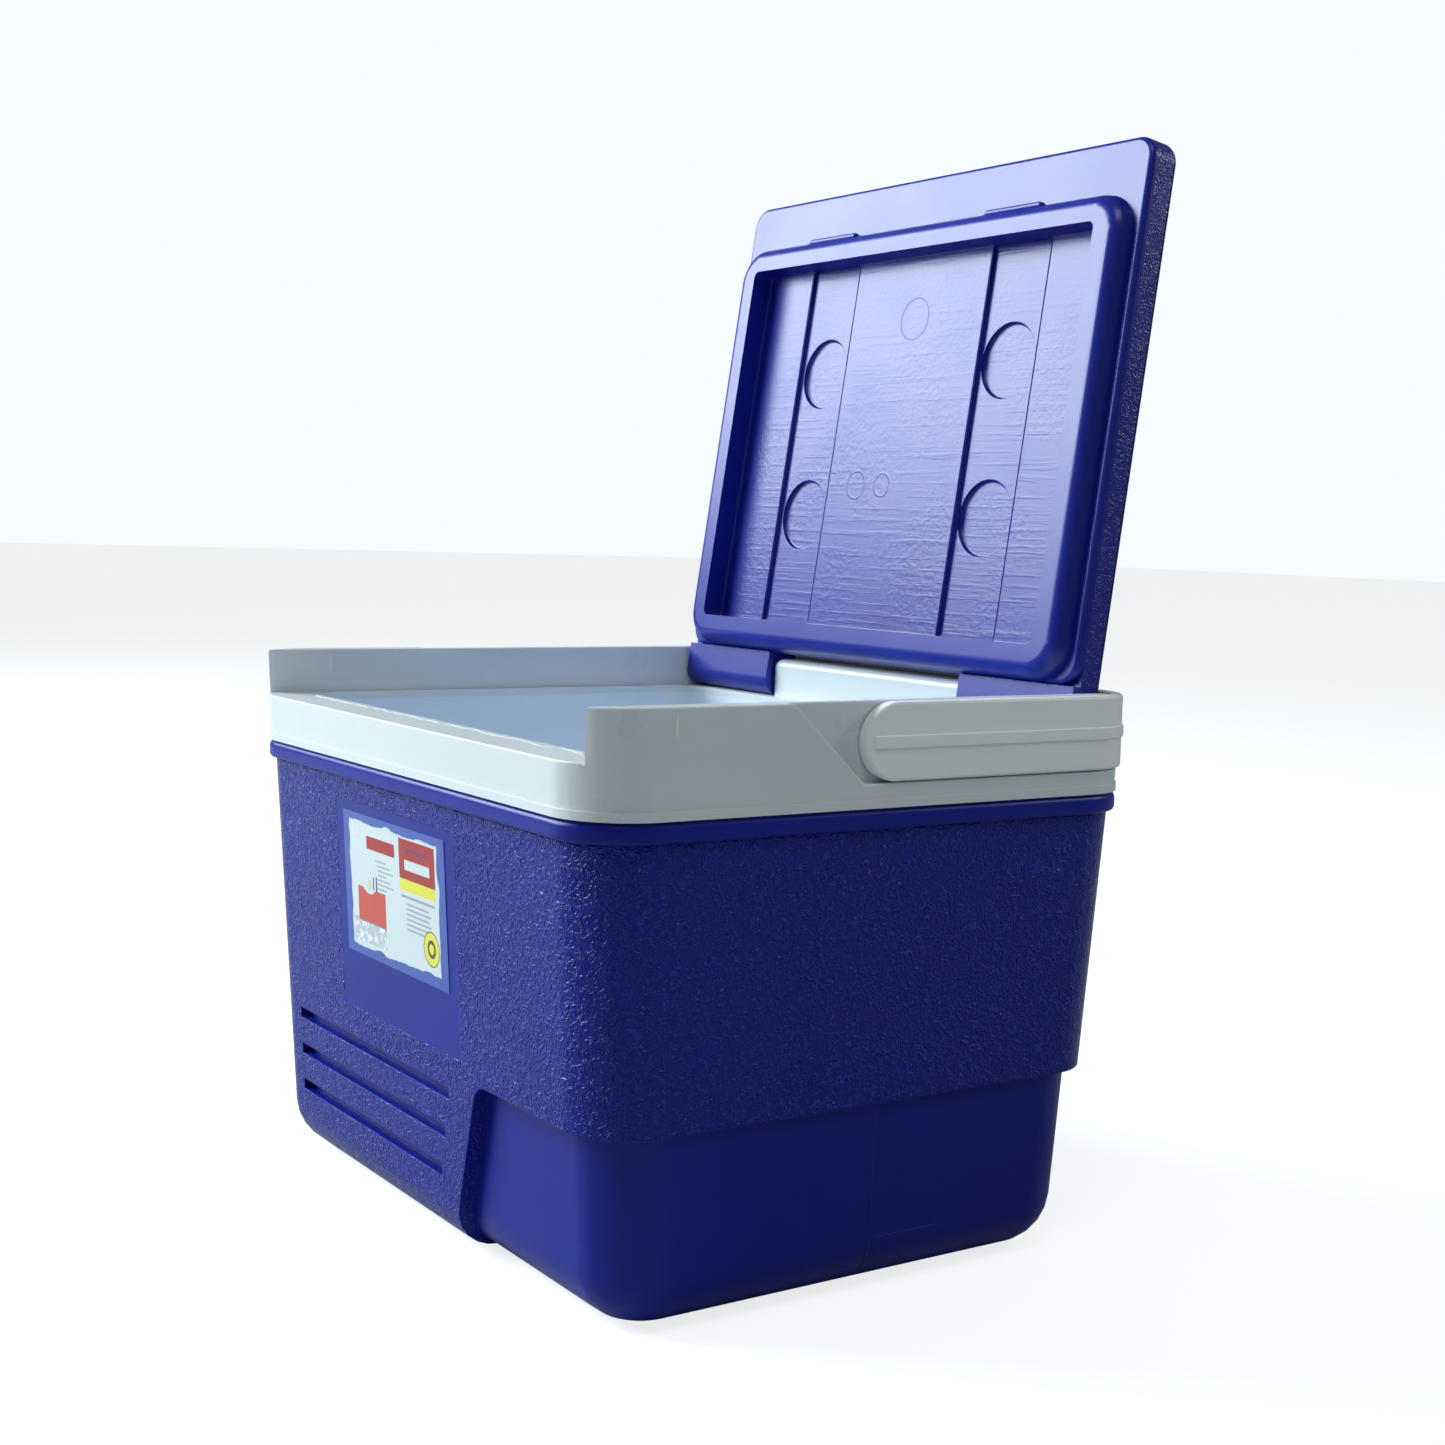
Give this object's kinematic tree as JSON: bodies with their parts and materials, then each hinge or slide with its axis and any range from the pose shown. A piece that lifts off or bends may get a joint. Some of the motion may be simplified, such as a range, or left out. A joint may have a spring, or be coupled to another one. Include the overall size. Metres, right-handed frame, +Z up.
{
  "type": "cooler chest",
  "caption": "Small insulated cooler chest with a hinged lid, a swinging carrying handle and an insulated inner tub.",
  "frame": {"origin": "on the floor under the middle of the body, where the flat underside rests", "axes": "+X to the right of someone facing the front, -Y out of the front wall with the label, +Z up"},
  "size_m": [0.2886, 0.2586, 0.4181],
  "materials": {
    "blue_grained_plastic": "leather-grained moulded polyethylene, deep blue",
    "blue_smooth_plastic": "smooth satin polyethylene, deep blue",
    "white_collar_plastic": "smooth satin, cool white",
    "white_handle_plastic": "smooth satin, cool white",
    "white_liner_plastic": "smooth satin, cool white",
    "foam": "rigid insulating foam",
    "steel_pin": "plain drawn steel",
    "printed_paper": "coated printed paper"
  },
  "bodies": {
    "chest": {"outer_shell": "blue_grained_plastic", "body_foam": "foam", "liner_tub": "white_liner_plastic", "collar": "white_collar_plastic", "label": "printed_paper", "hinge_pin_right": "steel_pin", "hinge_pin_left": "steel_pin"},
    "lid": {"lid_cover": "blue_grained_plastic", "lid_inner_panel": "blue_smooth_plastic", "lid_foam": "foam"},
    "handle": {"handle_bail": "white_handle_plastic"}
  },
  "joints": [
    {"name": "lid_hinge", "type": "hinge", "parent": "chest", "child": "lid", "pos_m": [0, 0.0993, 0.1987], "axis": [1, 0, 0], "range_deg": [0, 98.3]},
    {"name": "handle_swing", "type": "hinge", "parent": "chest", "child": "handle", "pos_m": [0, 0.0006, 0.19485], "axis": [1, 0, 0], "range_deg": [0, 90]}
  ],
  "couplings": [
    {"joint": "handle_swing", "follows": "lid_hinge", "ratio": 0.9155}
  ]
}
